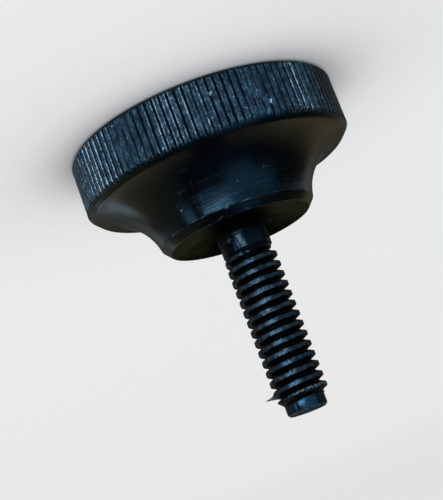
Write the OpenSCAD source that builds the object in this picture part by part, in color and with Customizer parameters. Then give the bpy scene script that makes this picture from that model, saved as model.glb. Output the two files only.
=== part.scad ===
// Thumb screw, turned in one piece from black plastic: a knurled head that flares
// down through a cove to a boss, a plain neck, a 1/4-20 thread and a plain point.
// It stands on its head. The origin is the centre of the head's flat top face, on
// the surface that it stands on, and +Z runs along the stud to the point.

/* [Head] */
// Diameter over the knurl's ridges
head_d = 33.4; // [30:0.1:38]
// Height of the rim, from the flat top face to the start of the cove
rim_h = 7.1; // [5:0.1:9]
// Chamfer between the flat top face and the knurl
top_chamfer = 0.5; // [0.2:0.05:1]
// Plain chamfer between the knurl and the cove
rim_chamfer = 0.8; // [0.4:0.05:1.5]

/* [Knurl] */
// Number of straight ridges round the rim
knurl_count = 115; // [90:1:140]
// Depth of the grooves between the ridges
knurl_depth = 0.25; // [0.1:0.01:0.35]
// Width of the flat on top of each ridge
knurl_land = 0.44; // [0.2:0.01:0.55]
// Width of the flat at the bottom of each groove
knurl_floor = 0.05; // [0.02:0.01:0.1]
// Turn of the knurl about the axis, in degrees
knurl_turn = 0.75; // [0:0.05:4]

/* [Boss] */
// Diameter of the boss at the upper edge of its bevel
boss_d = 19.4; // [15:0.1:22]
// Distance from the flat top face to the face that presses on the work
seat_z = 14.1; // [12:0.1:18]
// Height of the bevel round the seat
bevel_h = 0.95; // [0.3:0.05:1.5]
// Width of the bevel round the seat
bevel_w = 0.85; // [0.3:0.05:1.5]
// Cove radius, as a multiple of half the distance between the cove's two edges
cove_ratio = 1.74; // [1.5:0.01:3]

/* [Stud] */
// Diameter of the plain neck under the seat
neck_d = 6.1; // [5.3:0.05:6.3]
// Length of the neck
neck_l = 2.6; // [1.5:0.1:5]
// Radius of the fillet where the neck leaves the seat
neck_fillet = 0.5; // [0.2:0.05:1]
// Length from the seat to the end of the point
stud_l = 22.9; // [15:0.1:40]
// Diameter of the plain point
point_d = 4.9; // [4.86:0.01:5]
// Length of the plain point
point_l = 1.4; // [1:0.1:4]
// Chamfer on the end of the point
point_chamfer = 0.3; // [0.1:0.05:0.6]

/* [Thread] */
// Outside diameter of the thread
thread_d = 6.35; // [6.35:0.01:6.4]
// Distance from one turn to the next
thread_pitch = 1.27; // [1.2:0.01:1.5]
// Depth of the groove
thread_depth = 0.75; // [0.7:0.01:0.8]
// Width of the flat crest
thread_crest_w = 0.45; // [0.3:0.01:0.5]
// Width of the flat at the bottom of the groove
thread_root_w = 0.08; // [0.05:0.01:0.2]
// Turn of the thread about the axis, in degrees
thread_turn = 121; // [0:1:360]
// Turns over which the thread rises out of the neck
thread_rise = 1.25; // [0.5:0.25:1.5]

/* [Hidden] */
$fn = 96;

head_r = head_d / 2;
rim_r = head_r - rim_chamfer;
seat_r = boss_d / 2 - bevel_w;
end_z = seat_z + stud_l;
overlap = 0.5;

// The cove is the arc through the rim's lower edge and the boss's edge.
rim_edge = [rim_r, rim_h];
boss_edge = [boss_d / 2, seat_z - bevel_h];
cove_chord = boss_edge - rim_edge;
cove_half = norm(cove_chord) / 2;
cove_r = cove_half * cove_ratio;
cove_rise = sqrt(cove_r * cove_r - cove_half * cove_half);
cove_centre = (rim_edge + boss_edge) / 2
    + cove_rise * [cove_chord[1], -cove_chord[0]] / norm(cove_chord);

// The bevel's slope, run on into the cove so that the two cross.
bevel_foot = boss_edge + overlap * (boss_edge - [seat_r, seat_z]) / bevel_h;

neck_r = neck_d / 2;
neck_end = seat_z + neck_l;
point_r = point_d / 2;
point_start = end_z - point_l;
lead_l = thread_d / 2 - point_r;

thread_r = thread_d / 2;
root_r = thread_r - thread_depth;
core_r = root_r - overlap / 2;
flank_w = (thread_pitch - thread_crest_w - thread_root_w) / 2;
thread_steps = 24;
thread_start = neck_end - thread_pitch / 2;
thread_last = round((point_start - thread_start) / thread_pitch * thread_steps);
thread_turns = thread_last / thread_steps;
thin_ridge = 0.03;

// How much of its full height the thread has, at this many turns from its start.
function thread_share(turn) = max(thin_ridge, min(1, turn / thread_rise));

// One section of the thread: the foot, the crest's two edges and the far foot.
function thread_section(step) =
    let (
        turn = step / thread_steps,
        angle = thread_turn + 360 * turn,
        share = thread_share(turn),
        foot_z = thread_start + thread_pitch * (turn - 0.5),
        crest_r = root_r + thread_depth * share,
        crest_z = foot_z + flank_w + thread_crest_w / 2,
        half_w = thread_crest_w / 2 * share,
        far_z = foot_z + 2 * flank_w + thread_crest_w
    )
    [
        for (point = [
            [root_r, foot_z],
            [crest_r, crest_z - half_w],
            [crest_r, crest_z + half_w],
            [root_r, far_z],
        ])
            [point[0] * cos(angle), point[0] * sin(angle), point[1]]
    ];

module cove_cut() {
    translate(cove_centre) circle(r = cove_r);
}

module turned_head() {
    rotate_extrude()
        difference() {
            polygon([
                [0, 0],
                [head_r - top_chamfer, 0],
                [head_r + overlap, top_chamfer + overlap],
                [head_r + overlap, rim_h - rim_chamfer - overlap],
                [rim_r - overlap, rim_h + overlap],
                bevel_foot,
                [seat_r, seat_z],
                [0, seat_z],
            ]);
            cove_cut();
        }
}

// The knurl as one toothed column, which trims the turned head.
module knurl_column() {
    step = 360 / knurl_count;
    groove_r = head_r - knurl_depth;
    half_land = asin(knurl_land / 2 / head_r);
    half_floor = asin(knurl_floor / 2 / groove_r);
    corners = [
        [head_r, -half_land],
        [head_r, half_land],
        [groove_r, step / 2 - half_floor],
        [groove_r, step / 2 + half_floor],
    ];
    rotate(knurl_turn)
        linear_extrude(seat_z + overlap)
            polygon([
                for (ridge = [0:knurl_count - 1], corner = corners)
                    let (angle = ridge * step + corner[1])
                    corner[0] * [cos(angle), sin(angle)]
            ]);
}

module knurled_head() {
    intersection() {
        turned_head();
        knurl_column();
    }
}

// The stud without its thread: the neck, the core and the point.
module plain_stud() {
    rotate_extrude()
        polygon([
            [0, seat_z - overlap],
            [neck_r, seat_z - overlap],
            [neck_r, neck_end],
            [core_r, neck_end + neck_r - core_r],
            [core_r, point_start],
            [point_r, point_start],
            [point_r, end_z - point_chamfer],
            [point_r - point_chamfer, end_z],
            [0, end_z],
        ]);
}

module fillet_at_neck() {
    rotate_extrude()
        difference() {
            translate([neck_r - overlap, seat_z - overlap]) square(overlap + neck_fillet);
            translate([neck_r + neck_fillet, seat_z + neck_fillet]) circle(r = neck_fillet);
        }
}

// The screw, from inside the neck to inside the point, with a pointed cap at each end.
module long_thread() {
    sections = [for (step = [0:thread_last]) each thread_section(step)];
    caps = [
        [0, 0, thread_start - 2 * thread_pitch],
        [0, 0, point_start + 2 * thread_pitch],
    ];
    low_cap = len(sections);
    high_cap = low_cap + 1;
    polyhedron(
        points = concat(sections, caps),
        faces = concat(
            // Flanks and crest
            [for (step = [0:thread_last - 1], side = [0:2])
                let (here = 4 * step + side)
                each [[here, here + 1, here + 5], [here, here + 5, here + 4]]],
            // Bottom of the groove, from one turn to the next
            [for (step = [0:thread_last - thread_steps - 1])
                let (here = 4 * step + 3, above = 4 * (step + thread_steps))
                each [[here, above, above + 4], [here, above + 4, here + 4]]],
            // Caps
            [for (step = [0:thread_steps - 1]) [low_cap, 4 * step, 4 * step + 4]],
            [for (step = [thread_last - thread_steps:thread_last - 1])
                [high_cap, 4 * step + 7, 4 * step + 3]],
            [[low_cap, 4 * thread_steps, 3, 2, 1, 0]],
            [[
                high_cap,
                4 * (thread_last - thread_steps) + 3,
                4 * thread_last,
                4 * thread_last + 1,
                4 * thread_last + 2,
                4 * thread_last + 3,
            ]]
        )
    );
}

// The thread's last turn is cut to a 45 degree lead that ends inside the point.
module screw_thread() {
    intersection() {
        long_thread();
        rotate_extrude()
            polygon([
                [0, 0],
                [thread_r + overlap, 0],
                [thread_r + overlap, point_start - lead_l - overlap],
                [point_r - overlap, point_start + overlap],
                [0, point_start + overlap],
            ]);
    }
}

module thumb_screw() {
    color([0.07, 0.08, 0.1])
        union() {
            knurled_head();
            plain_stud();
            fillet_at_neck();
            screw_thread();
        }
}

thumb_screw();
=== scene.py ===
"""Looks of the black plastic thumb screw, standing on its head on a pale floor.

The piece is one mesh, built ring by ring from the middle of the flat head face, round the knurl,
down the cove and the neck, along the thread and over the end of the point. Lengths are in
millimetres, angles in degrees and azimuths run from +X; make_piece() turns millimetres to metres.
"""

import math
import random

import bpy
from mathutils import Matrix, Vector, noise


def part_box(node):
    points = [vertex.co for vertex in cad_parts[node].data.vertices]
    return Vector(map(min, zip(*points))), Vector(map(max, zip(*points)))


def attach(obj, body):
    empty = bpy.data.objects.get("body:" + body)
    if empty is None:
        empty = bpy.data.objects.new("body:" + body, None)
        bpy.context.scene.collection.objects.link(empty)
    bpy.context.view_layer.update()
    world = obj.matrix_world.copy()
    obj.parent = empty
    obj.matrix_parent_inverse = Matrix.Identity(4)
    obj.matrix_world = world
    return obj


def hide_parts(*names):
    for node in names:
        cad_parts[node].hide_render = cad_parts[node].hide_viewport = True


NODE = "thumb_screw"
MM = 0.001

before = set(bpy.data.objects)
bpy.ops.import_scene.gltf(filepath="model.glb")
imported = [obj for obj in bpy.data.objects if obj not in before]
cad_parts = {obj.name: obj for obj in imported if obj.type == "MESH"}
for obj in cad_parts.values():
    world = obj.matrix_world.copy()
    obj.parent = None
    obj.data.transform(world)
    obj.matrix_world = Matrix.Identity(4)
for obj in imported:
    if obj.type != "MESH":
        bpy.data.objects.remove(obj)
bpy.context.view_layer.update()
box_low, box_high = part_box(NODE)

# ---- Head, from the CAD box -------------------------------------------------------------------
HEAD_R = (box_high[0] - box_low[0]) / 2 / MM
END_Z = box_high[2] / MM
TOP_CHAMFER = 0.5
RIM_CHAMFER = 0.8
RIM_R = HEAD_R - RIM_CHAMFER
RIM_H = 7.1

# ---- Knurl ------------------------------------------------------------------------------------
RIDGES = 115
RIDGE_STEP = 360 / RIDGES
KNURL_TURN = 0.75
KNURL_DEPTH = 0.25
KNURL_ROWS = 36
# Places across one ridge, in parts of a step from its middle: the land, its edges and the groove.
RIDGE_COLUMNS = (-0.30, -0.26, -0.16, 0.0, 0.16, 0.26, 0.30, 0.36, 0.43, 0.5, 0.57, 0.64)
LAND_EDGE = 0.26

# ---- Cove, boss and seat ----------------------------------------------------------------------
BOSS_R = 9.7
SEAT_Z = 14.1
BEVEL_H = 0.95
BEVEL_W = 0.85
SEAT_R = BOSS_R - BEVEL_W
COVE_RATIO = 1.74
COVE_STEPS = 30
EDGE_ROUND = 0.12
# Wear and painted highlight of the points round one edge of the boss
EDGE_WEAR_AND_GLINT = (0.0, 1.0, 0.5, 0.0)
NICK = (93.8, 13.1)

# ---- Stud -------------------------------------------------------------------------------------
NECK_R = 3.05
NECK_END = SEAT_Z + 2.6
NECK_FILLET = 0.5
POINT_R = 2.45
POINT_L = 1.4
POINT_START = END_Z - POINT_L
POINT_CHAMFER = 0.3

# ---- Thread -----------------------------------------------------------------------------------
THREAD_R = 3.175
PITCH = 1.27
THREAD_DEPTH = 0.75
CREST_W = 0.45
ROOT_W = 0.08
FLANK_W = (PITCH - CREST_W - ROOT_W) / 2
ROOT_R = THREAD_R - THREAD_DEPTH
LEAD_START = POINT_START - (THREAD_R - POINT_R)
THREAD_TURN = 121
THREAD_RISE = 1.25
THREAD_START = NECK_END - PITCH / 2
# Places along one pitch, from the foot of a ridge: up a flank, over the crest and down again.
THREAD_ROWS = (0.0, 0.09, 0.19, 0.28, 0.34, 0.41, 0.49, 0.595, 0.70, 0.78, 0.85, 0.91, 1.0, 1.1, 1.19)

# ---- Marks of use and painted highlights ------------------------------------------------------
# Each mark runs from one place to another, with its width and strength. A place is an azimuth and
# a height, or on the seat an azimuth and a radius.
KNURL_MARKS = (
    ((83, 2.2), (83.4, 2.4), 0.10, 0.9),
    ((75.5, 3.4), (75.4, 3.5), 0.08, 0.8),
    ((61.5, 4.8), (61.7, 5.1), 0.11, 1.0),
    ((107, 6.1), (107.5, 6.2), 0.09, 0.9),
    ((125, 0.8), (125.2, 0.9), 0.07, 0.6),
    ((94, 3.5), (93.8, 3.6), 0.08, 0.8),
    ((72, 6.0), (72.2, 6.2), 0.08, 0.6),
    ((72.2, 5.1), (72, 5.2), 0.07, 0.7),
    ((98, 1.2), (98.2, 1.4), 0.08, 0.8),
    ((120, 3.0), (119.8, 3.1), 0.07, 0.5),
    ((84.5, 2.1), (83.6, 2.25), 0.06, 0.6),
)
# Scratches, dust and pale spots on the cove, boss and bevel. The lines round heights 11.4 to 12.4 and
# the upright line at azimuth 107 are painted highlights: glints on turning marks and the bright edge of
# the boss's reflection.
COVE_MARKS_AND_GLINTS = (
    ((104.5, 9.72), (91, 9.74), 0.07, 0.035),
    ((118.7, 9.79), (112.8, 9.72), 0.08, 0.08),
    ((116, 9.79), (118, 10.25), 0.07, 0.08),
    ((107, 9.3), (108.6, 9.9), 0.06, 0.05),
    ((123, 11.38), (123.3, 11.42), 0.12, 0.65),
    ((124.3, 10.74), (124.9, 10.8), 0.14, 0.18),
    ((99.8, 11.97), (85, 12.05), 0.07, 0.16),
    ((103, 12.35), (91, 12.4), 0.06, 0.12),
    ((98, 11.4), (88, 11.36), 0.06, 0.08),
    ((106.8, 10.85), (107.3, 12.65), 0.09, 0.09),
    ((109.5, 8.17), (106, 8.25), 0.16, 0.02),
    ((142, 13.1), (143, 13.2), 0.16, 0.20),
    ((147, 13.0), (148.5, 13.15), 0.14, 0.14),
    ((104, 13.95), (100, 13.9), 0.08, 0.14),
    ((81.5, 14.0), (78, 13.98), 0.09, 0.20),
    ((61, 10.2), (63, 10.3), 0.08, 0.07),
)
SEAT_MARKS = (
    ((141, 6.6), (146, 6.7), 0.30, 0.10),
    ((157, 6.3), (161, 6.2), 0.35, 0.09),
    ((172, 3.9), (183, 3.9), 0.60, 0.08),
    ((-6, 3.7), (2, 3.8), 0.45, 0.09),
    ((128, 7.6), (133, 7.8), 0.22, 0.08),
)
SEAT_PITS = (((7.3, 5.5), (7.3, 5.7), 0.20, 0.9),)
# Painted highlights on the neck: the bright, speckled streaks of its reflection, drawn as pale marks,
# and the last one a glint on the first thread.
NECK_HIGHLIGHTS = (
    ((101.5, 15.2), (98, 15.8), 0.28, 0.65),
    ((99, 15.4), (93, 16.7), 0.45, 0.45),
    ((121.5, 15.2), (120.5, 15.8), 0.13, 0.35),
    ((120.5, 16.1), (119.5, 16.6), 0.12, 0.30),
    ((127, 15.4), (121, 16.5), 0.45, 0.18),
    ((92.8, 17.4), (90, 17.4), 0.12, 0.8),
)

ZONES = ("faced", "knurl", "turned", "seat", "neck", "thread", "crest", "point")


def smoothstep(low, high, value):
    share = max(0.0, min(1.0, (value - low) / (high - low)))
    return share * share * (3 - 2 * share)


def soft_min(a, b, width):
    return min(a, b) - max(width - abs(a - b), 0.0) ** 2 / (4 * width)


def polar(radius, azimuth, z):
    angle = math.radians(azimuth)
    return Vector((radius * math.cos(angle), radius * math.sin(angle), z))


def rough(point, size, seed):
    """Smooth noise from -1 to 1 with features about size millimetres across."""
    return noise.noise(point / size + Vector((seed, 2.3 * seed, 5.1 * seed)))


class Skin:
    """The mesh as it grows: points with their relief, which also carries painted shade, and their wear,
    which also carries painted highlights, and faces with their zone.
    """

    def __init__(self):
        self.points, self.relief, self.wear, self.faces, self.zones = [], [], [], [], []

    def add(self, point, relief=1.0, wear=0.0):
        self.points.append(point)
        self.relief.append(relief)
        self.wear.append(wear)
        return len(self.points) - 1

    def face(self, corners, zone):
        self.faces.append(corners)
        self.zones.append(ZONES.index(zone))

    def ring(self, radius, z, first_azimuth, wear=0.0):
        azimuths = [first_azimuth + i * RIDGE_STEP for i in range(RIDGES)]
        return [self.add(polar(radius, azimuth, z), 1.0, wear) for azimuth in azimuths]

    def band(self, inner, outer, zone):
        """Quads between two closed rings with as many points each."""
        for i in range(len(inner)):
            j = (i + 1) % len(inner)
            self.face((inner[i], inner[j], outer[j], outer[i]), zone)

    def join(self, fine, coarse, zone, inward):
        """Triangles between a fine ring and a coarse one beside it."""
        many = len(fine) // len(coarse)
        for i, corner in enumerate(coarse):
            following = coarse[(i + 1) % len(coarse)]
            arc = [fine[(many * i + k) % len(fine)] for k in range(many + 1)]
            half = many // 2
            fan = [(arc[k], arc[k + 1], corner if k < half else following) for k in range(many)]
            fan.append((corner, arc[half], following))
            for triangle in fan:
                self.face(triangle if inward else triangle[::-1], zone)

    def fan(self, centre, ring, zone):
        for i in range(len(ring)):
            self.face((ring[i], ring[(i + 1) % len(ring)], centre), zone)


def rounded(corner, before, after, reach, steps=3):
    """Points of a curve that rounds one corner of an outline, reach from it on both sides."""
    start = corner + (before - corner).normalized() * reach
    end = corner + (after - corner).normalized() * reach
    shares = [k / steps for k in range(steps + 1)]
    return [start * (1 - t) ** 2 + corner * 2 * t * (1 - t) + end * t * t for t in shares]


def cove_outline():
    """The cove's arc, from the rim chamfer to the boss's edge, as (radius, z)."""
    rim_edge = Vector((RIM_R, RIM_H))
    boss_edge = Vector((BOSS_R, SEAT_Z - BEVEL_H))
    chord = boss_edge - rim_edge
    half = chord.length / 2
    radius = half * COVE_RATIO
    rise = math.sqrt(radius * radius - half * half)
    centre = (rim_edge + boss_edge) / 2 + rise * Vector((chord.y, -chord.x)) / chord.length
    first = math.atan2(rim_edge.y - centre.y, rim_edge.x - centre.x)
    last = math.atan2(boss_edge.y - centre.y, boss_edge.x - centre.x)
    if first < last:
        first += 2 * math.pi
    angles = [first + (last - first) * k / COVE_STEPS for k in range(COVE_STEPS + 1)]
    return [centre + radius * Vector((math.cos(a), math.sin(a))) for a in angles]


def turned_outline():
    """Outline from the rim's chamfer to the foot of the neck: (radius, z), zone and the share of edge
    wear and painted highlight.
    """
    cove = cove_outline()
    on_chamfer = Vector((RIM_R + 1, RIM_H - 1))
    boss_edge, seat_edge = cove[-1], Vector((SEAT_R, SEAT_Z))
    neck_foot = Vector((NECK_R + NECK_FILLET, SEAT_Z))
    turned = rounded(cove[0], on_chamfer, cove[1], EDGE_ROUND)
    turned += cove[1:-1]
    seat = [Vector((radius, SEAT_Z)) for radius in (8.3, 7.5, 6.6, 5.6, 4.6)]
    outline = [(point, "turned", 0.0) for point in turned]
    for corner, before, after, reach in (
        (boss_edge, cove[-2], seat_edge, EDGE_ROUND),
        (seat_edge, boss_edge, neck_foot, 0.08),
    ):
        for point, share in zip(rounded(corner, before, after, reach), EDGE_WEAR_AND_GLINT):
            outline.append((point, "turned", share))
        if corner is boss_edge:
            outline += [(boss_edge.lerp(seat_edge, share), "turned", 0.0) for share in (0.3, 0.65)]
    return outline + [(point, "seat", 0.0) for point in seat]


# ---- Head -------------------------------------------------------------------------------------
def ridge_height(place):
    """Height of the knurl at a place across one ridge, from 0 in the groove to 1 on the land."""
    away = abs(place) if place <= 0.5 else abs(place - 1)
    return max(0.0, soft_min(1.0, (0.48 - away) / (0.48 - LAND_EDGE), 0.12))


def ridge_edge(place, width):
    """1 on the torn lips at the land's edges, 0 away from them."""
    away = abs(place) if place <= 0.5 else abs(place - 1)
    return math.exp(-((away - LAND_EDGE) / width) ** 2)


def near(azimuth, middle, width):
    """1 at an azimuth, falling to 0 on both sides of it."""
    away = (azimuth - middle + 180) % 360 - 180
    return math.exp(-(away / width) ** 2)


def knurl_point(azimuth, place, share, lip_and_glint, smear):
    """A point of the knurl: share runs from 0 on its upper chamfer to 1 on its lower one."""
    height, edge = ridge_height(place), ridge_edge(place, 0.05)
    radius = HEAD_R - KNURL_DEPTH * (1 - height)
    low_z = radius - (HEAD_R - TOP_CHAMFER)
    high_z = RIM_H - (radius - RIM_R)
    z = low_z + (high_z - low_z) * share
    where = polar(HEAD_R, azimuth, z)
    inside = smoothstep(0, 0.04, share) * smoothstep(0, 0.04, 1 - share)
    torn = 0.7 * rough(where, 0.28, 3) + 0.6 * rough(where, 0.75, 4)
    filled = smear * (0.75 + rough(where, 1.6, 5)) * (1 - height) * 0.8
    radius += inside * (KNURL_DEPTH * max(0, filled) - 0.02 + torn * 0.022 * (0.35 + height))
    radius += inside * edge * lip_and_glint * 0.03 * (0.4 + torn)
    # The lips are pale with tearing, and paler still as a painted highlight where they are set to catch
    # the light.
    wear = max(0, ridge_edge(place, 0.07) * (0.75 + 0.6 * torn) * lip_and_glint + 0.25 * torn * height)
    # Painted shade: this darkens the knurl's colour in its grooves, and over the knurl round azimuth 20.
    relief = min(1, height + max(0, filled)) * (1 - 0.6 * near(azimuth, 20, 14))
    return polar(min(radius, HEAD_R + 0.004), azimuth, z), relief, min(1, wear)


def knurled_rim(skin, first_ridge):
    """The flat face, the knurl and its chamfers. Returns the last ring and its first azimuth."""
    chance = random.Random(4)
    columns = []
    for ridge in range(RIDGES):
        turn = (KNURL_TURN + (first_ridge + ridge) * RIDGE_STEP) % 360
        smear = smoothstep(0.1, 0.6, noise.noise(Vector((ridge * 0.21, 7.7, 1.3)))) + near(turn, 120, 9)
        # Painted light on the lips: paler round azimuths 44, 95 and 141, where they catch the light,
        # painted shade round 18, and duller round 63, 118 and 168; the rest varies at random.
        crisp_and_lit = 0.45 + 0.3 * noise.noise(Vector((ridge * 0.17, 1.7, 4.3)))
        crisp_and_lit += 0.6 * near(turn, 95, 11) - 0.35 * near(turn, 118, 9) - 0.2 * near(turn, 63, 14)
        crisp_and_lit -= 0.6 * near(turn, 18, 16) + 0.3 * near(turn, 168, 10)
        lips_and_glints = {
            False: crisp_and_lit * chance.uniform(0.4, 1.2) + 0.95 * near(turn, 141, 8),
            True: crisp_and_lit * chance.uniform(0.2, 1.1) + 0.6 * near(turn, 44, 5),
        }
        for place in RIDGE_COLUMNS:
            azimuth = KNURL_TURN + (first_ridge + ridge + place) * RIDGE_STEP
            columns.append((azimuth, place, lips_and_glints[place > 0], smear))
    middle = RIDGE_COLUMNS.index(0.0)
    ring = skin.ring(3.0, 0, columns[middle][0])
    skin.fan(skin.add(Vector((0, 0, 0))), ring[::-1], "faced")
    for radius in (6.0, 9.5, 13.0, 15.6):
        following = skin.ring(radius, 0, columns[middle][0])
        skin.band(ring, following, "faced")
        ring = following
    edge = [skin.add(polar(HEAD_R - TOP_CHAMFER, column[0], 0)) for column in columns]
    skin.join(edge[middle:] + edge[:middle], ring, "faced", inward=False)
    ring = edge
    for row in range(KNURL_ROWS + 1):
        share = row / KNURL_ROWS
        following = []
        for azimuth, place, lip_and_glint, smear in columns:
            following.append(skin.add(*knurl_point(azimuth, place, share, lip_and_glint, smear)))
        skin.band(ring, following, "turned" if row == 0 else "knurl")
        ring = following
    foot = Vector((RIM_R + 0.35, RIM_H - 0.35))
    following = [skin.add(polar(foot.x, column[0], foot.y)) for column in columns]
    skin.band(ring, following, "turned")
    return following, columns[0][0]


def turned_point(outline, azimuth, edge):
    """A point of the cove, boss or seat: its edges are worn, with a painted highlight round azimuth 104,
    and one has a nick.
    """
    radius, z = outline
    where = polar(radius, azimuth, z)
    # Painted highlight: the edge is paler round azimuth 104, where it catches the light; the noise is
    # real wear.
    painted_highlight = 0.02 + 0.22 * near(azimuth, 104, 20)
    wear = edge * max(0, painted_highlight + 0.4 * rough(where, 1.1, 21) + 0.3 * rough(where, 0.45, 22))
    if z > SEAT_Z - BEVEL_H / 2:
        wear *= 0.5
    nick = near(azimuth, NICK[0], 1.0) * math.exp(-((z - NICK[1]) / 0.16) ** 2)
    return polar(radius - 0.09 * nick, azimuth, z), 1.0, min(1, wear + 0.7 * nick)


def turned_head(skin, fine, first_azimuth):
    """The cove, the boss and the seat. Returns the seat's inner ring."""
    ring = None
    azimuths = [first_azimuth + i * RIDGE_STEP / 2 for i in range(2 * RIDGES)]
    for point, zone, edge in turned_outline():
        following = [skin.add(*turned_point(point, azimuth, edge)) for azimuth in azimuths]
        if ring is None:
            skin.join(fine, following, zone, inward=True)
        else:
            skin.band(ring, following, zone)
        ring = following
    return ring


# ---- Stud -------------------------------------------------------------------------------------
def neck(skin, fine):
    """The fillet and the plain neck. Returns the ring under the thread."""
    centre = Vector((NECK_R + NECK_FILLET, SEAT_Z + NECK_FILLET))
    outline = [Vector((centre.x, SEAT_Z))]
    for k in range(1, 7):
        angle = math.radians(270 - 15 * k)
        outline.append(centre + NECK_FILLET * Vector((math.cos(angle), math.sin(angle))))
    outline += [Vector((NECK_R, z)) for z in (14.8, 15.05, 15.3)]
    ring = None
    for point in outline:
        following = skin.ring(point.x, point.y, THREAD_TURN)
        if ring is None:
            skin.join(fine, following, "seat", inward=True)
        else:
            on_neck = point.y > centre.y + 0.1
            skin.band(ring, following, "neck" if on_neck else "seat")
        ring = following
    return ring


def thread_height(along):
    """Height of the thread at a place along one pitch, from 0 at the root to 1 on the crest."""
    away = abs(along - FLANK_W - CREST_W / 2)
    crown = 1 - 0.006 * (away / CREST_W) ** 2
    return max(0.0, soft_min(crown, (CREST_W / 2 + 0.03 + FLANK_W - away) / FLANK_W, 0.10))


def plain_radius(z):
    """Radius of the stud without its thread."""
    if z >= POINT_START:
        return POINT_R
    return max(ROOT_R, min(NECK_R, NECK_R - (z - NECK_END)))


def stud_radius(turn, along, z):
    """Radius of the stud on the thread's grid, before wear."""
    share = max(0.03, min(1.0, turn / THREAD_RISE))
    threaded = ROOT_R + THREAD_DEPTH * share * thread_height(along)
    lead = POINT_R + max(0.0, POINT_START - z)
    return max(plain_radius(z), min(threaded, lead))


def thread_point(turn, along):
    """A point of the thread: turn is counted from its start and along is within one pitch."""
    azimuth = THREAD_TURN + 360 * turn
    z = THREAD_START + PITCH * (turn - 0.5) + along
    for level in (NECK_END, NECK_END + NECK_R - ROOT_R, LEAD_START, POINT_START):
        if abs(z - level) < 0.045:
            z = level
    radius = stud_radius(turn, along % PITCH, z)
    height = (radius - ROOT_R) / THREAD_DEPTH
    where = polar(radius, azimuth, z)
    torn = smoothstep(34.3, 34.6, z) * (1 - smoothstep(LEAD_START + 0.05, LEAD_START + 0.35, z))
    lump = rough(where, 0.2, 12)
    radius += rough(where, 0.9, 11) * 0.010 * min(1, height + 0.3)
    radius += lump * 0.07 * torn * height
    wear = torn * smoothstep(0.92, 1.0, height) * (0.1 + 2.2 * lump)
    # The crests are paler at random, and much paler round azimuth 97: a painted highlight where they
    # catch the light.
    pale_share = 0.3 * rough(where, 0.5, 31) + 1.0 * near(azimuth, 97, 15) * (0.3 + rough(where, 0.3, 32))
    wear += smoothstep(0.85, 0.97, height) * smoothstep(0.9, 1.5, turn) * max(0, pale_share)
    burr = near(azimuth, 180, 6) * math.exp(-((z - 34.25) / 0.19) ** 2)
    return polar(radius + 1.1 * burr, azimuth, z), height, max(0, min(1, wear + 2 * burr))


def screw_thread(skin, below):
    """The thread as a grid that climbs with it. Returns the level ring above and its azimuth."""
    n = RIDGES
    level_z = END_Z - POINT_CHAMFER
    last = int(((level_z - 0.06 - PITCH - THREAD_START) / PITCH + 0.5) * n)
    last_turn = range(last - n + 1, last + 1)
    grid = [
        [skin.add(*thread_point(step / n, along)) for along in THREAD_ROWS]
        for step in range(last + 1)
    ]
    top = {step: skin.add(*thread_point(step / n, PITCH - 1e-6)) for step in last_turn}

    def corner(step, row):
        if row < len(THREAD_ROWS):
            return grid[step][row]
        return grid[step + n][0] if step + n <= last else top[step]

    for i in range(n - 1):
        skin.face((below[i], below[i + 1], grid[i + 1][0], grid[i][0]), "neck")
    # The first turn's start, where one tall column of faces meets the whole profile.
    pivot = grid[n - 1][0]
    seam = [below[n - 1], below[0]] + grid[0] + [grid[n][0]]
    for a, b in zip(seam, seam[1:]):
        skin.face((pivot, a, b), "thread")
    for step in range(last):
        for row in range(len(THREAD_ROWS)):
            lower = (corner(step, row), corner(step + 1, row))
            upper = (corner(step + 1, row + 1), corner(step, row + 1))
            crest = step > 0.95 * n and FLANK_W < THREAD_ROWS[row] < FLANK_W + CREST_W
            skin.face(lower + upper, "crest" if crest else "thread")
    # The last turn's end, where the same happens upside down.
    azimuth = THREAD_TURN + 360 * last / n
    level = skin.ring(POINT_R, level_z, azimuth)
    edge = [grid[last][0]] + [top[step] for step in last_turn]
    seam = [edge[0]] + grid[last][1:] + [edge[n], level[0], level[1]]
    for a, b in zip(seam, seam[1:]):
        skin.face((edge[1], b, a), "point")
    for i in range(1, n):
        skin.face((edge[i], edge[i + 1], level[(i + 1) % n], level[i]), "point")
    return level, azimuth


def point_end(skin, ring, azimuth):
    """The point's chamfer and its flat end."""
    edge = POINT_R - POINT_CHAMFER
    outline = (
        (POINT_R - 0.12, END_Z - 0.14, 0.3),
        (edge, END_Z, 0.1),
        (1.4, END_Z, 0),
        (0.5, END_Z, 0),
    )
    for radius, z, wear in outline:
        following = skin.ring(radius, z, azimuth, wear)
        skin.band(ring, following, "point")
        ring = following
    skin.fan(skin.add(Vector((0, 0, END_Z))), ring, "point")


def thumb_screw_skin():
    skin = Skin()
    first_ridge = round((THREAD_TURN - KNURL_TURN) / RIDGE_STEP)
    fine, azimuth = knurled_rim(skin, first_ridge)
    ring = turned_head(skin, fine, azimuth)
    ring = neck(skin, ring)
    level, azimuth = screw_thread(skin, ring)
    point_end(skin, level, azimuth)
    return skin


def make_piece(skin, name, materials):
    mesh = bpy.data.meshes.new(name)
    mesh.from_pydata([point * MM for point in skin.points], [], skin.faces)
    mesh.polygons.foreach_set("material_index", skin.zones)
    mesh.polygons.foreach_set("use_smooth", [True] * len(skin.faces))
    for attribute, values in (("relief", skin.relief), ("wear", skin.wear)):
        mesh.attributes.new(attribute, "FLOAT", "POINT").data.foreach_set("value", values)
    for material in materials:
        mesh.materials.append(material)
    mesh.update()
    piece = bpy.data.objects.new(name, mesh)
    bpy.context.scene.collection.objects.link(piece)
    return piece


# ---- Materials --------------------------------------------------------------------------------
BLACK = (0.0006, 0.0007, 0.0008)
# Tints of the gloss: the plastic mirrors a blue sky
COOL = (0.28, 0.64, 1.0)
COLD = (0.26, 0.60, 1.0)
# Scratched and torn plastic, also the colour of painted highlights
TORN_AND_GLINT_COLOUR = (0.18, 0.24, 0.28)


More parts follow.
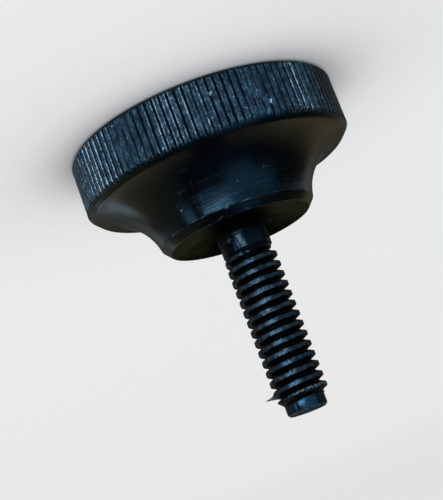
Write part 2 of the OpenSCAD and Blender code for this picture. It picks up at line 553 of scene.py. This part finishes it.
class Nodes:
    """Short calls for building a node tree."""

    def __init__(self, owner):
        owner.use_nodes = True
        self.tree = owner.node_tree
        self.tree.nodes.clear()

    def add(self, kind, inputs=(), **settings):
        node = self.tree.nodes.new(kind)
        for name, value in settings.items():
            setattr(node, name, value)
        for name, value in dict(inputs).items():
            self.feed(node.inputs[name], value)
        return node

    def feed(self, socket, value):
        """Links an output to the socket, or sets the socket to a number or colour."""
        if isinstance(value, bpy.types.NodeSocket):
            self.tree.links.new(value, socket)
        elif isinstance(value, tuple):
            socket.default_value = (*value, 1) if len(socket.default_value) == 4 else value
        else:
            socket.default_value = value

    def math(self, operation, a, b=None):
        node = self.tree.nodes.new("ShaderNodeMath")
        node.operation = operation
        self.feed(node.inputs[0], a)
        if b is not None:
            self.feed(node.inputs[1], b)
        return node.outputs[0]

    def vector(self, operation, a, b=None):
        node = self.tree.nodes.new("ShaderNodeVectorMath")
        node.operation = operation
        self.feed(node.inputs[0], a)
        if b is not None:
            self.feed(node.inputs[1], b)
        return node.outputs["Value" if operation in ("LENGTH", "DOT_PRODUCT") else "Vector"]

    def ramp(self, value, low, high, to_low=0.0, to_high=1.0):
        """Goes smoothly from to_low to to_high while the value goes from low to high."""
        inputs = {"Value": value, "From Min": low, "From Max": high, "To Min": to_low, "To Max": to_high}
        return self.add("ShaderNodeMapRange", inputs, interpolation_type="SMOOTHSTEP").outputs["Result"]

    def noise(self, vector, scale, detail=2.0, roughness=0.5):
        inputs = {"Vector": vector, "Scale": scale, "Detail": detail, "Roughness": roughness}
        return self.add("ShaderNodeTexNoise", inputs).outputs["Fac"]

    def split(self, vector):
        return self.add("ShaderNodeSeparateXYZ", {0: vector}).outputs

    def from_axis(self, vector):
        """Distance from the screw's axis."""
        return self.vector("LENGTH", self.vector("MULTIPLY", vector, (1.0, 1.0, 0.0)))

    def bump(self, height, depth):
        """A surface normal from a height, where 1 stands for depth in millimetres."""
        inputs = {"Height": height, "Distance": depth * MM, "Strength": 1.0}
        return self.add("ShaderNodeBump", inputs).outputs[0]

    def mix(self, factor, a, b):
        return self.add("ShaderNodeMix", {0: factor, 6: a, 7: b}, data_type="RGBA").outputs[2]

    def output(self, shader, kind="Material"):
        self.add("ShaderNodeOutput" + kind, {0: shader})


def turning_lines(n, where, spacing, length):
    """Noise drawn out round the axis, like the marks that a turning tool leaves."""
    parts = n.split(where)
    along_outline = n.math("SUBTRACT", parts[2], n.from_axis(where))
    along_outline = n.math("MULTIPLY", along_outline, length / spacing)
    stretched = n.add("ShaderNodeCombineXYZ", {0: parts[0], 1: parts[1], 2: along_outline}).outputs[0]
    return n.noise(stretched, 1 / (length * MM), 3.0, 0.6)


def duller_at_the_edges(n, gloss, first, loss):
    """Worn plastic loses its gloss where it is seen along the surface."""
    facing = n.add("ShaderNodeLayerWeight", {"Blend": 0.5}).outputs["Facing"]
    return n.math("ADD", gloss, n.ramp(facing, first, first + 0.4, 0.0, loss))


def dust(n, where, spacing, size):
    """Sparse specks: 1 within about size millimetres of some of the cells' points."""
    cells = n.add("ShaderNodeTexVoronoi", {"Vector": where, "Scale": 1 / (spacing * MM)}).outputs
    chosen = n.add("ShaderNodeSeparateColor", {0: cells["Color"]}).outputs
    speck = n.ramp(cells["Distance"], 0.6 * size / spacing, 1.3 * size / spacing, 1.0, 0.0)
    return n.math("MULTIPLY", speck, n.ramp(chosen[0], 0.62, 0.66))


def unrolled(n, where, flat):
    """The azimuth in radians, with the height or on flat faces the radius, in millimetres."""
    parts = n.split(where)
    azimuth = n.math("ARCTAN2", parts[1], parts[0])
    across = n.math("DIVIDE", n.from_axis(where) if flat else parts[2], MM)
    return n.add("ShaderNodeCombineXYZ", {0: azimuth, 1: across}).outputs[0]


def mark(n, place, radius, start, end, width, strength):
    """The mark's strength along a line on the unrolled surface, and 0 away from it."""
    scale = Vector((radius, 1, 0))
    first = Vector((math.radians(start[0]), start[1], 0))
    along = (Vector((math.radians(end[0]), end[1], 0)) - first) * scale
    offset = n.vector("MULTIPLY", n.vector("SUBTRACT", place, tuple(first)), tuple(scale))
    share = n.vector("DOT_PRODUCT", offset, tuple(along / along.length_squared))
    share = n.math("MINIMUM", n.math("MAXIMUM", share, 0.0), 1.0)
    shares = n.add("ShaderNodeCombineXYZ", {0: share, 1: share}).outputs[0]
    nearest = n.vector("MULTIPLY", tuple(along), shares)
    away = n.vector("LENGTH", n.vector("SUBTRACT", offset, nearest))
    return n.ramp(away, 0.25 * width, width, strength, 0.0)


def all_marks(n, where, marks, flat=False):
    """The strongest mark at each place. The marks waver by up to a quarter of a millimetre."""
    noise_inputs = {"Vector": where, "Scale": 1 / (0.35 * MM), "Detail": 2.0}
    waver = n.add("ShaderNodeTexNoise", noise_inputs).outputs["Color"]
    waver = n.vector("SUBTRACT", waver, (0.5, 0.5, 0.5))
    waver = n.vector("MULTIPLY", waver, (0.5 * MM, 0.5 * MM, 0.5 * MM))
    place = unrolled(n, n.vector("ADD", where, waver), flat)
    strongest = None
    for start, end, width, strength in marks:
        radius = start[1] if flat else outline_radius(start[1])
        here = mark(n, place, radius, start, end, width, strength)
        strongest = here if strongest is None else n.math("MAXIMUM", strongest, here)
    return strongest


def outline_radius(z):
    """Radius of the head or the stud at a height."""
    if z > SEAT_Z:
        return NECK_R
    return min((abs(point.y - z), point.x) for point in cove_outline())[1]


def plastic(name, colour, tint, level, roughness, grain, lines, anisotropic,
            streaks=0.0, marks=(), loss=(0.5, 0.45)):
    """Smooth black plastic with turning lines: grain and lines are (size, depth) in millimetres.

    level is its specular level, streaks is how much the lines on the boss vary its roughness, marks
    are pale scratches and painted highlights, and loss is how far round the surface turns away before it
    gets rougher and how much rougher it gets."""
    material = bpy.data.materials.new(name)
    n = Nodes(material)
    where = n.add("ShaderNodeTexCoord").outputs["Object"]
    wear = n.add("ShaderNodeAttribute", attribute_name="wear").outputs["Fac"]
    fine = n.noise(where, 1 / (grain[0] * MM), 2.0, 0.6)
    broad = n.noise(where, 1 / (3.0 * MM), 3.0, 0.6)
    turned = turning_lines(n, where, lines[0], 7.0)
    # Painted highlights: the wear attribute and the marks carry pale painted highlights as well as real
    # tearing, scratches and dust.
    torn = n.math("MULTIPLY", wear, n.ramp(fine, 0.35, 0.6, 0.1, 1.0))
    worn_and_glinting = n.math("MAXIMUM", torn, n.math("MULTIPLY", dust(n, where, 1.7, 0.07), 0.5))
    if marks:
        marks_and_glints = n.math("MULTIPLY", all_marks(n, where, marks), n.ramp(fine, 0.32, 0.58, 0.35, 1.0))
        worn_and_glinting = n.math("MAXIMUM", worn_and_glinting, marks_and_glints)
    gloss = n.math("ADD", n.ramp(broad, 0.3, 0.7, -0.03, 0.04), n.ramp(worn_and_glinting, 0.0, 1.0, roughness, 0.5))
    if streaks:
        parts = n.split(where)
        boss = n.math("MULTIPLY", n.ramp(parts[2], 9.6 * MM, 11.2 * MM), n.ramp(broad, 0.38, 0.55))
        boss = n.math("MULTIPLY", boss, n.ramp(parts[1], 5.0 * MM, 8.5 * MM, 0.15, 1.0))
        streaked = n.math("MULTIPLY", boss, n.ramp(turned, 0.42, 0.60, -0.5 * streaks, streaks))
        gloss = n.math("ADD", gloss, streaked)
    height = n.math("ADD", n.math("MULTIPLY", fine, grain[1]), n.math("MULTIPLY", turned, lines[1]))
    shader = n.add("ShaderNodeBsdfPrincipled", {
        "Base Color": n.mix(worn_and_glinting, n.mix(broad, colour, tuple(1.8 * c for c in colour)), TORN_AND_GLINT_COLOUR),
        "Roughness": duller_at_the_edges(n, gloss, *loss),
        "IOR": 1.46,
        "Specular IOR Level": level,
        "Specular Tint": tint,
        "Normal": n.bump(height, 1.0),
        "Anisotropic": anisotropic,
        "Anisotropic Rotation": 0.25,
        "Tangent": n.add("ShaderNodeTangent", direction_type="RADIAL", axis="Z").outputs[0],
    })
    n.output(shader.outputs[0])
    return material


def seat_plastic(name):
    """The seat is matt. Its brown is a painted reflection of a warm room, with painted shade in front
    of, behind and close to the neck and toward the back, and it has pale patches and a pit.
    """
    material = bpy.data.materials.new(name)
    n = Nodes(material)
    where = n.add("ShaderNodeTexCoord").outputs["Object"]
    parts = n.split(where)
    wear = n.add("ShaderNodeAttribute", attribute_name="wear").outputs["Fac"]
    fine = n.noise(where, 1 / (0.2 * MM), 2.0, 0.6)
    broad = n.noise(where, 1 / (2.5 * MM), 3.0, 0.6)
    # Painted shade and reflection: black in front of and behind the neck, darker close to it and toward
    # the back, warm brown elsewhere.
    sides = n.ramp(n.math("ABSOLUTE", parts[0]), 2.0 * MM, 5.8 * MM)
    shade = n.math("MULTIPLY", sides, n.ramp(parts[1], -9.0 * MM, 5.0 * MM, 0.1, 1.0))
    shade = n.math("MULTIPLY", shade, n.ramp(n.from_axis(where), 3.6 * MM, 9.0 * MM, 0.85, 1.6))
    shade = n.math("MULTIPLY", shade, n.ramp(broad, 0.3, 0.7, 0.6, 1.3))
    pits = n.math("SUBTRACT", 1.0, all_marks(n, where, SEAT_PITS, True))
    shade = n.math("MULTIPLY", shade, pits)
    base = n.mix(shade, (0.0010, 0.0020, 0.0016), (0.044, 0.0365, 0.0215))
    pale_share = n.math("MAXIMUM", wear, all_marks(n, where, SEAT_MARKS, True))
    pale_share = n.math("MULTIPLY", pale_share, n.ramp(fine, 0.35, 0.6, 0.1, 1.0))
    shader = n.add("ShaderNodeBsdfPrincipled", {
        "Base Color": n.mix(pale_share, base, TORN_AND_GLINT_COLOUR),
        "Roughness": n.ramp(broad, 0.3, 0.7, 0.32, 0.42),
        "IOR": 1.46,
        "Specular IOR Level": 0.0,
        "Normal": n.bump(fine, 0.006),
    })
    n.output(shader.outputs[0])
    return material


def knurled_plastic(name):
    """Torn plastic of the knurl. Painted shade darkens the grooves, with unworn plastic there, and the
    knurl round azimuth 20; the lands' blue-grey is painted skylight, and the lips are pale with tearing
    and with painted highlights.
    """
    material = bpy.data.materials.new(name)
    n = Nodes(material)
    where = n.add("ShaderNodeTexCoord").outputs["Object"]
    relief = n.add("ShaderNodeAttribute", attribute_name="relief").outputs["Fac"]
    wear = n.add("ShaderNodeAttribute", attribute_name="wear").outputs["Fac"]
    speckle = n.noise(n.vector("MULTIPLY", where, (1.0, 1.0, 0.3)), 1 / (0.085 * MM), 2.0, 0.7)
    drawn = n.noise(n.vector("MULTIPLY", where, (1.0, 1.0, 0.08)), 1 / (0.13 * MM), 2.0, 0.6)
    patches = n.noise(where, 1 / (1.1 * MM), 3.0, 0.6)
    paler = n.math("MULTIPLY", n.ramp(speckle, 0.34, 0.66), n.ramp(drawn, 0.37, 0.63, 0.25, 1.65))
    # The lands' blue-grey is painted blue skylight on black plastic.
    land = n.mix(paler, (0.003, 0.011, 0.019), (0.052, 0.109, 0.163))
    land = n.mix(n.ramp(patches, 0.38, 0.6), (0.009, 0.018, 0.031), land)
    # Painted shade, partly unworn plastic: the grooves are darker, and so is the knurl round azimuth 20.
    ground = n.mix(n.ramp(relief, 0.35, 1.0), (0.0010, 0.0018, 0.0026), land)
    pale = n.math("MULTIPLY", n.ramp(wear, 0.1, 0.75), n.ramp(speckle, 0.38, 0.60, 0.05, 1.2))
    pale = n.math("MAXIMUM", pale, all_marks(n, where, KNURL_MARKS))
    specks = n.math("MULTIPLY", n.ramp(speckle, 0.62, 0.74, 0.0, 0.42), n.ramp(relief, 0.5, 0.9))
    pale = n.math("MAXIMUM", pale, specks)
    shader = n.add("ShaderNodeBsdfPrincipled", {
        # The pale colour of tearing and painted highlights is tinted blue as painted skylight.
        "Base Color": n.mix(pale, ground, (0.40, 0.58, 0.72)),
        "Roughness": n.ramp(speckle, 0.3, 0.7, 0.30, 0.5),
        "IOR": 1.46,
        "Specular IOR Level": 0.12,
        "Specular Tint": (0.42, 0.76, 1.0),
        "Normal": n.bump(speckle, 0.05),
    })
    n.output(shader.outputs[0])
    return material


def turned_plastic():
    return plastic(
        "black_turned", BLACK, COOL, level=0.36, roughness=0.22, grain=(0.2, 0.002),
        lines=(0.24, 0.026), anisotropic=0.84, streaks=0.17, marks=COVE_MARKS_AND_GLINTS,
    )


def neck_plastic():
    return plastic(
        "black_neck", BLACK, COLD, level=0.34, roughness=0.20, grain=(0.12, 0.010), lines=(0.30, 0.006),
        anisotropic=0.92, marks=NECK_HIGHLIGHTS, loss=(0.2, 0.8),
    )


def thread_plastic():
    return plastic(
        "black_thread", BLACK, COLD, level=0.08, roughness=0.25, grain=(0.2, 0.010),
        lines=(0.25, 0.004), anisotropic=0.2, marks=NECK_HIGHLIGHTS[-1:],
    )


def crest_plastic():
    return plastic(
        "black_crest", BLACK, COLD, level=0.66, roughness=0.16, grain=(0.14, 0.020),
        lines=(0.14, 0.006), anisotropic=0.8, loss=(0.2, 0.8),
    )


def point_plastic():
    return plastic(
        "black_point", BLACK, COLD, level=0.68, roughness=0.22, grain=(0.2, 0.012), lines=(0.25, 0.012),
        anisotropic=0.75, loss=(0.2, 0.8),
    )


def faced_plastic():
    return plastic(
        "black_faced", BLACK, COOL, level=0.40, roughness=0.30, grain=(0.2, 0.004), lines=(0.30, 0.02),
        anisotropic=0.6,
    )


def piece_materials():
    """One material for each zone, in the order of ZONES."""
    return [
        faced_plastic(),
        knurled_plastic("black_knurled"),
        turned_plastic(),
        seat_plastic("black_seat"),
        neck_plastic(),
        thread_plastic(),
        crest_plastic(),
        point_plastic(),
    ]


# ---- Stage ------------------------------------------------------------------------------------
CAMERA_AZIMUTH = 91.2
# How much of the floor's look is its glow, seen by the camera and seen in gloss
CAMERA_GLOW = 0.75
GLOSS_GLOW = 0.38


def make_camera():
    """The photograph's camera: held close, a little above the seat, looking down and rolled."""
    place = Vector((-2.928, 142.898, 48.024)) * MM
    right = Vector((0.9368, -0.0778, 0.3411))
    up = Vector((0.3499, 0.2084, -0.9133))
    back = right.cross(up).normalized()
    up = back.cross(right).normalized()
    right = up.cross(back)
    camera = bpy.data.objects.new("camera", bpy.data.cameras.new("camera"))
    bpy.context.scene.collection.objects.link(camera)
    camera.matrix_world = Matrix.Translation(place) @ Matrix((right, up, back)).transposed().to_4x4()
    camera.data.lens = 88.0
    camera.data.clip_start = 0.01
    camera.data.clip_end = 50
    bpy.context.scene.camera = camera


def floor_material():
    """Pale and matt. To the camera and in gloss it partly glows, less so close to the screw."""
    material = bpy.data.materials.new("pale_floor")
    n = Nodes(material)
    diffuse = n.add("ShaderNodeBsdfDiffuse", {"Color": (0.84, 0.84, 0.84)})
    open_air = n.add("ShaderNodeAmbientOcclusion", {"Distance": 0.04}, samples=8).outputs["AO"]
    strength = n.math("POWER", open_air, 1.5)
    glow = n.add("ShaderNodeEmission", {"Color": (1.0, 1.0, 1.0), "Strength": strength})
    rays = n.add("ShaderNodeLightPath").outputs
    in_gloss = n.math("MAXIMUM", rays["Is Glossy Ray"], rays["Is Transmission Ray"])
    seen = n.math("MULTIPLY", rays["Is Camera Ray"], CAMERA_GLOW)
    share = n.math("MAXIMUM", seen, n.math("MULTIPLY", in_gloss, GLOSS_GLOW))
    mixed = n.add("ShaderNodeMixShader", {0: share, 1: diffuse.outputs[0], 2: glow.outputs[0]})
    n.output(mixed.outputs[0])
    return material


def make_floor():
    """A wide floor, level round the screw, that sweeps gently up to its far edge as a backdrop."""
    rings, segments, flat, reach, rise = 24, 96, 0.5, 4.0, 0.22
    points, faces = [(0, 0, 0)], []
    for ring in range(rings + 1):
        radius = flat + (reach - flat) * ring / rings
        z = rise * (ring / rings) ** 2
        for k in range(segments):
            angle = 2 * math.pi * k / segments
            points.append((radius * math.cos(angle), radius * math.sin(angle), z))
    for k in range(segments):
        j = (k + 1) % segments
        faces.append((0, 1 + k, 1 + j))
        for low in range(1, rings * segments, segments):
            faces.append((low + k, low + segments + k, low + segments + j, low + j))
    mesh = bpy.data.meshes.new("floor")
    mesh.from_pydata(points, [], faces)
    mesh.polygons.foreach_set("use_smooth", [True] * len(faces))
    mesh.materials.append(floor_material())
    floor = bpy.data.objects.new("floor", mesh)
    bpy.context.scene.collection.objects.link(floor)


WORLD_SIDES = (0.05, 0.05, 0.04)
WORLD_TOP = (0.03, 0.035, 0.035)


def make_world():
    """A dim warm room, darker overhead."""
    world = bpy.data.worlds.new("studio")
    bpy.context.scene.world = world
    n = Nodes(world)
    direction = n.add("ShaderNodeTexCoord").outputs["Generated"]
    z = n.split(direction)[2]
    room = n.mix(n.ramp(z, 0.6, 0.95), WORLD_SIDES, WORLD_TOP)
    n.output(n.add("ShaderNodeBackground", {"Color": room}).outputs[0], "World")


def soft_light(name, azimuth, low, high, width, colour, radiance, edge=0.5):
    """A flat lamp with soft edges, seen from the screw at an azimuth from the camera's.

    It stands between two elevations and is that many degrees wide."""
    distance = 1.0
    middle = math.radians((low + high) / 2)
    toward = polar(math.cos(middle), CAMERA_AZIMUTH + azimuth, math.sin(middle))
    lamp = bpy.data.lights.new(name, "AREA")
    lamp.shape = "RECTANGLE"
    lamp.size = 2 * distance * math.tan(math.radians(width / 2))
    lamp.size_y = 2 * distance * math.tan(math.radians((high - low) / 2))
    lamp.energy = radiance * math.pi * lamp.size * lamp.size_y
    n = Nodes(lamp)
    place = n.split(n.add("ShaderNodeNewGeometry").outputs["Parametric"])
    fade = []
    for axis in (0, 1):
        away = n.math("ABSOLUTE", n.math("SUBTRACT", place[axis], 0.5))
        fade.append(n.ramp(away, 0.5 - edge / 2, 0.5, 1.0, 0.0))
    glow = n.add("ShaderNodeEmission", {"Color": colour, "Strength": n.math("MULTIPLY", *fade)})
    n.output(glow.outputs[0], "Light")
    light = bpy.data.objects.new(name, lamp)
    bpy.context.scene.collection.objects.link(light)
    light.location = toward * distance + Vector((0, 0, 0.018))
    light.rotation_mode = "QUATERNION"
    light.rotation_quaternion = toward.to_track_quat("Z", "Y")
    light.visible_camera = False


# Name, azimuth from the camera, lowest and highest elevation, width, colour, radiance, soft edge
LAMPS = [
    ("window", 17, -2, 13, 47, (0.78, 0.91, 1.0), 14.0, 0.3),
    ("haze", 4, -4, 42, 60, (0.62, 0.85, 1.0), 1.1, 0.6),
    ("column", -30, 38, 74, 44, (0.56, 0.85, 1.0), 0.95, 0.9),
    ("sky", -38, 0, 54, 82, (0.48, 0.80, 1.0), 1.3, 0.7),
    ("door", 60, 0, 24, 22, (0.70, 0.88, 1.0), 3.2, 0.6),
    ("streak", 152, 18, 32, 44, (0.66, 0.90, 1.0), 1.7, 0.9),
    ("left wall", 112, 4, 74, 90, (1.0, 0.78, 0.38), 0.27, 0.6),
    ("right wall", -166, 2, 70, 72, (1.0, 0.77, 0.38), 0.31, 0.6),
]


def main():
    make_camera()
    make_floor()
    make_world()
    for lamp in LAMPS:
        soft_light(*lamp)
    bpy.context.scene.view_settings.view_transform = "Standard"
    piece = make_piece(thumb_screw_skin(), "black_thumb_screw", piece_materials())
    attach(piece, "root")
    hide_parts(NODE)


main()
